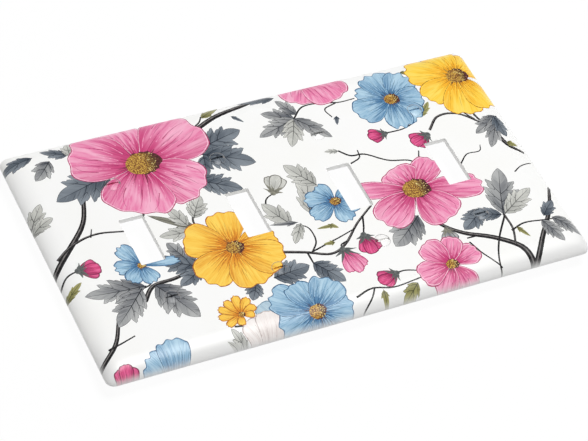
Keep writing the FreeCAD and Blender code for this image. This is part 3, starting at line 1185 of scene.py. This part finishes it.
def bottom_edge(nodes):
    """Height as a part of the plate's depth, and a mask that is 1 along the plate's bottom edge."""
    parts = nodes.add("ShaderNodeSeparateXYZ", Vector=nodes.object_position())
    level = nodes.math("DIVIDE", parts.outputs["Z"], PLATE_DEPTH * MM)
    return level, nodes.ramp(parts.outputs["Y"], -0.6 * HALF_WIDTH * MM, -0.9 * HALF_WIDTH * MM)


def bare_white(nodes, colour):
    """White with a faint warm mottle, and painted shade: a little greyer on the slope of the bottom edge."""
    cloud = nodes.noise(nodes.object_position(), 40.0, 4.0)
    warm = tuple(value * factor for value, factor in zip(colour[:3], (0.99, 0.988, 0.975))) + (1.0,)
    white = nodes.mix(nodes.ramp(cloud, 0.35, 0.7), colour, warm)
    level, bottom = bottom_edge(nodes)
    # Painted shade: the white mixes towards grey low on the crown along the bottom edge
    return nodes.mix(nodes.times(nodes.ramp(level, 0.92, 0.6), bottom), white, SLOPE_PAINTED_SHADE)


def faded(nodes, colour):
    """Ink that thins out towards the bare white, with its painted shade, where the edge turns down to the
    wall, most along the bottom.
    """
    patchy = nodes.noise(nodes.object_position(), 500.0, 2.0)
    level, bottom = bottom_edge(nodes)
    level = nodes.plus(level, nodes.math("MULTIPLY_ADD", patchy, 0.24, -0.12))
    level = nodes.minus(level, nodes.times(bottom, 0.26))
    return nodes.mix(nodes.ramp(level, -0.42, 0.44), bare_white(nodes, WHITE), colour)


def white_material(name, colour):
    """Bare white plastic or paint, a little greyer on the slope of the plate's bottom edge by painted shade.
    """
    nodes = Nodes(name)
    return plastic_surface(nodes, bare_white(nodes, colour))


def petal_material(name, tip, middle, base, vein):
    """Painted petal: streaks that fan out from the base, darker at the base and down one side."""
    nodes = Nodes(name)
    along, across, seed = nodes.place()
    fan = nodes.math("DIVIDE", across, nodes.plus(along, 0.32))
    offset = nodes.times(seed, 37.0)
    broad = nodes.brushed(nodes.times(fan, 3.2), nodes.times(along, 1.1), offset, 1.6, 2.0)
    fine = nodes.brushed(nodes.times(fan, 10.0), nodes.times(along, 1.4), offset, 1.7, 3.0, 0.6)
    depth = nodes.ramp(nodes.plus(along, nodes.math("MULTIPLY_ADD", broad, 0.5, -0.25)), 0.15, 0.75)
    colour = nodes.mix(depth, base, middle)
    colour = nodes.mix(nodes.times(nodes.ramp(broad, 0.42, 0.68), nodes.ramp(along, 0.2, 0.7)), colour, tip)
    lines = nodes.times(nodes.ramp(fine, 0.56, 0.70), nodes.minus(1.0, nodes.ramp(along, 0.45, 1.05)))
    colour = nodes.mix(nodes.times(lines, 0.75), colour, vein)
    side = nodes.times(across, nodes.math("SIGN", nodes.minus(seed, 0.5)))
    colour = nodes.mix(nodes.times(nodes.ramp(side, 0.2, 1.05), 0.62), colour, base)
    light = nodes.times(nodes.ramp(fine, 0.58, 0.42), nodes.ramp(along, 0.35, 0.9))
    colour = nodes.mix(nodes.times(light, 0.55), colour, tip)
    return plastic_surface(nodes, faded(nodes, colour))


def leaf_material(name, light, dark, vein):
    """Painted leaf: dark at its root and down one half, paler to its tips, brushed out from the midrib."""
    nodes = Nodes(name)
    along, across, seed = nodes.place()
    offset = nodes.times(seed, 29.0)
    spread = nodes.math("ABSOLUTE", across)
    slant = nodes.minus(along, nodes.times(spread, 0.42))
    strokes = nodes.brushed(nodes.times(slant, 16.0), across, offset, 1.5, 3.0, 0.6)
    broad = nodes.brushed(nodes.times(slant, 3.0), nodes.times(across, 0.6), offset, 1.3, 2.0)
    flip = nodes.math("SIGN", nodes.minus(seed, 0.4))
    half = nodes.ramp(nodes.times(across, flip), -0.10, 0.10)
    tone = nodes.plus(nodes.times(half, 0.22), nodes.times(nodes.ramp(broad, 0.35, 0.65), 0.26))
    tone = nodes.plus(tone, nodes.times(nodes.ramp(along, 0.1, 0.95), 0.42))
    tone = nodes.math("ADD", tone, nodes.times(nodes.ramp(spread, 0.2, 0.9), 0.36), clamp=True)
    colour = nodes.mix(tone, dark, light)
    colour = nodes.mix(nodes.times(nodes.ramp(strokes, 0.55, 0.70), 0.5), colour, vein)
    colour = nodes.mix(nodes.times(nodes.ramp(strokes, 0.44, 0.3), 0.35), colour, light)
    return plastic_surface(nodes, faded(nodes, colour))


def line_material(name, dark, light):
    """Ink of stems, ribs and outlines, with a slight grain."""
    nodes = Nodes(name)
    grain = nodes.noise(nodes.object_position(), 900.0, 3.0)
    return plastic_surface(nodes, faded(nodes, nodes.mix(nodes.ramp(grain, 0.35, 0.7), dark, light)))


def disc_material(name, gold, brown, dark):
    """Stippled flower centre, lit from the left."""
    nodes = Nodes(name)
    along, across = nodes.place()[:2]
    cells = nodes.add("ShaderNodeTexVoronoi", Vector=nodes.object_position(), Scale=2100.0)
    dots = nodes.ramp(cells.outputs["Distance"], 0.3, 0.6)
    colour = nodes.mix(dots, gold, brown)
    shade = nodes.ramp(nodes.plus(along, nodes.times(across, -0.12)), 0.5, 1.0)
    colour = nodes.mix(nodes.times(shade, 0.85), colour, dark)
    return plastic_surface(nodes, faded(nodes, colour))


def steel_material(name):
    """Bright zinc-plated thread."""
    nodes = Nodes(name)
    cloud = nodes.noise(nodes.object_position(), 500.0, 3.0)
    nodes.put(nodes.shader.inputs["Base Color"], nodes.mix(cloud, srgb(176, 178, 182), srgb(206, 208, 210)))
    nodes.set(Metallic=1.0)
    nodes.put(nodes.shader.inputs["Roughness"], nodes.math("MULTIPLY_ADD", cloud, 0.2, 0.24))
    return nodes.material


def make_materials():
    """Every material, by the ink name that the shapes use."""
    materials = {
        "white": white_material("white_plastic", WHITE),
        "screw_white": white_material("screw_paint", WHITE),
        # Countersinks: white plastic painted mid-grey, a painted shade for the shadowed ring round each screw
        # head
        "sink": white_material("countersink_painted_shade", srgb(168, 166, 166)),
        "bare_steel": steel_material("zinc_plated_steel"),
    }
    petals = {
        "pink": ((247, 180, 206), (234, 124, 170), (200, 66, 120), (160, 44, 94)),
        "magenta": ((236, 110, 160), (206, 62, 118), (140, 34, 80), (104, 24, 62)),
        "yellow": ((255, 216, 98), (250, 194, 70), (224, 140, 40), (144, 74, 32)),
        "gold": ((255, 224, 104), (255, 208, 66), (246, 176, 44), (146, 88, 36)),
        "blue": ((184, 214, 232), (140, 180, 208), (80, 128, 170), (38, 70, 104)),
        "pale_blue": ((190, 212, 224), (170, 196, 212), (140, 170, 190), (104, 132, 152)),
        "cream": ((248, 243, 240), (238, 230, 226), (218, 206, 202), (168, 152, 148)),
        "pale": ((206, 204, 196), (176, 174, 166), (138, 134, 124), (92, 90, 84)),
        "grey": ((176, 172, 176), (138, 138, 144), (100, 102, 110), (66, 70, 78)),
    }
    leaves = {
        "slate": ((142, 150, 158), (64, 74, 86), (36, 42, 52)),
        "grey": ((190, 191, 190), (86, 90, 98), (46, 48, 54)),
        "pale": ((216, 216, 210), (172, 173, 168), (92, 92, 90)),
        "olive": ((178, 174, 116), (122, 120, 72), (66, 66, 46)),
        "olive_grey": ((158, 156, 142), (96, 96, 86), (52, 52, 48)),
        "charcoal": ((118, 122, 120), (66, 70, 72), (34, 36, 38)),
    }
    for ink, colours in petals.items():
        tip, middle, base, vein = (srgb(*colour) for colour in colours)
        if ink not in leaves:
            materials[ink] = petal_material(ink + "_petal_ink", tip, middle, base, vein)
        materials[ink + "_edge"] = line_material(ink + "_petal_edge_ink", vein, base)
        materials[ink + "_streak"] = line_material(ink + "_streak_ink", vein, base)
        pale_tip = tuple(0.45 * value + 0.55 for value in tip)
        materials[ink + "_light"] = line_material(ink + "_light_ink", tip, pale_tip)
        materials[ink + "_glow"] = line_material(ink + "_glow_ink", middle, tip)
    for ink, colours in leaves.items():
        light, dark, vein = (srgb(*colour) for colour in colours)
        materials[ink] = leaf_material(ink + "_leaf_ink", light, dark, vein)
        materials[ink + "_rib"] = line_material(ink + "_rib_ink", vein, vein)
    materials["stem"] = line_material("stem_ink", srgb(16, 15, 17), srgb(46, 44, 46))
    materials["stem_light"] = line_material("stem_light_ink", srgb(104, 100, 100), srgb(140, 136, 134))
    materials["disc"] = disc_material("disc_ink", srgb(224, 180, 84), srgb(128, 84, 44), srgb(58, 36, 36))
    materials["disc_shadow"] = line_material("disc_shadow_ink", srgb(70, 34, 40), srgb(104, 60, 52))
    materials["pollen"] = line_material("pollen_ink", srgb(244, 214, 120), srgb(252, 236, 170))
    return materials


# ---------------------------------------------------------------- stage

FLOOR_HALF = 6.0
FLOOR_GREY = 0.06
FLOOR_GLOW = 0.94


def make_floor():
    """A wide pale floor that the screws' points stand on."""
    z = CAD_BOX[0][2]
    corners = [(x * FLOOR_HALF, y * FLOOR_HALF, z) for x, y in ((-1, -1), (1, -1), (1, 1), (-1, 1))]
    mesh = bpy.data.meshes.new("floor")
    mesh.from_pydata(corners, [], [(0, 1, 2, 3)])
    floor = bpy.data.objects.new("floor", mesh)
    bpy.context.scene.collection.objects.link(floor)
    nodes = Nodes("floor_white")
    nodes.set(Base_Color=(FLOOR_GREY, FLOOR_GREY, FLOOR_GREY, 1), Roughness=1.0, Specular_IOR_Level=0.0)
    nodes.set(Emission_Color=(1, 1, 1, 1), Emission_Strength=FLOOR_GLOW)
    mesh.materials.append(nodes.material)


KEY_PLACE = (0.19, -0.02, 1.4)
KEY_SIZE = 0.7
KEY_WATTS = 20.3


def make_light(name, place, size, power):
    """A square soft box aimed at the plate."""
    data = bpy.data.lights.new(name, "AREA")
    data.shape = "SQUARE"
    data.size = size
    data.energy = power
    light = bpy.data.objects.new(name, data)
    light.location = place
    light.rotation_mode = "QUATERNION"
    light.rotation_quaternion = (-Vector(place)).to_track_quat("-Z", "Y")
    bpy.context.scene.collection.objects.link(light)


BACKDROP_LIGHT = 0.99
SKY_LIGHT = 0.07
BACKDROP_TOP = math.radians(4.5)
SKY_BOTTOM = math.radians(10.0)


def make_world():
    """A white backdrop to just above the horizon, and dim soft light over it."""
    world = bpy.data.worlds.new("studio")
    world.use_nodes = True
    tree = world.node_tree
    direction = tree.nodes.new("ShaderNodeTexCoord")
    parts = tree.nodes.new("ShaderNodeSeparateXYZ")
    rise = tree.nodes.new("ShaderNodeMapRange")
    rise.interpolation_type = "SMOOTHSTEP"
    rise.inputs["From Min"].default_value = math.sin(BACKDROP_TOP)
    rise.inputs["From Max"].default_value = math.sin(SKY_BOTTOM)
    rise.inputs["To Min"].default_value = BACKDROP_LIGHT
    rise.inputs["To Max"].default_value = SKY_LIGHT
    tree.links.new(direction.outputs["Generated"], parts.inputs["Vector"])
    tree.links.new(parts.outputs["Z"], rise.inputs["Value"])
    background = tree.nodes["Background"]
    background.inputs["Color"].default_value = (1, 1, 1, 1)
    tree.links.new(rise.outputs["Result"], background.inputs["Strength"])
    bpy.context.scene.world = world


CAMERA_AZIMUTH = math.radians(-35.54)
CAMERA_ELEVATION = math.radians(48.39)
CAMERA_ROLL = math.radians(13.49)
CAMERA_DISTANCE = 0.8931
CAMERA_LENS = 136.6
SENSOR_WIDTH = 36.0
CAMERA_TARGET = (-0.00697, -0.00966, PLATE_DEPTH * MM)


def make_camera():
    """Long-lens camera, looking down at the plate from its lower left corner."""
    data = bpy.data.cameras.new("camera")
    data.sensor_width = SENSOR_WIDTH
    data.lens = CAMERA_LENS
    camera = bpy.data.objects.new("camera", data)
    bpy.context.scene.collection.objects.link(camera)
    flat = math.cos(CAMERA_ELEVATION)
    back = Vector((math.sin(CAMERA_AZIMUTH) * flat, -math.cos(CAMERA_AZIMUTH) * flat,
                   math.sin(CAMERA_ELEVATION)))
    camera.location = Vector(CAMERA_TARGET) + back * CAMERA_DISTANCE
    aim = (-back).to_track_quat("-Z", "Y").to_matrix().to_4x4()
    camera.matrix_world = Matrix.Translation(camera.location) @ aim @ Matrix.Rotation(CAMERA_ROLL, 4, "Z")
    data.clip_start = 0.01
    data.clip_end = 50.0
    bpy.context.scene.camera = camera


make_camera()
make_world()
make_light("key", KEY_PLACE, KEY_SIZE, KEY_WATTS)
make_floor()
MATERIALS = make_materials()
PATCHES = make_print()
make_plate(PATCHES, MATERIALS)
for screw in SCREW_NODES:
    make_screw(screw, PATCHES, MATERIALS)
bpy.context.scene.view_settings.view_transform = "Standard"
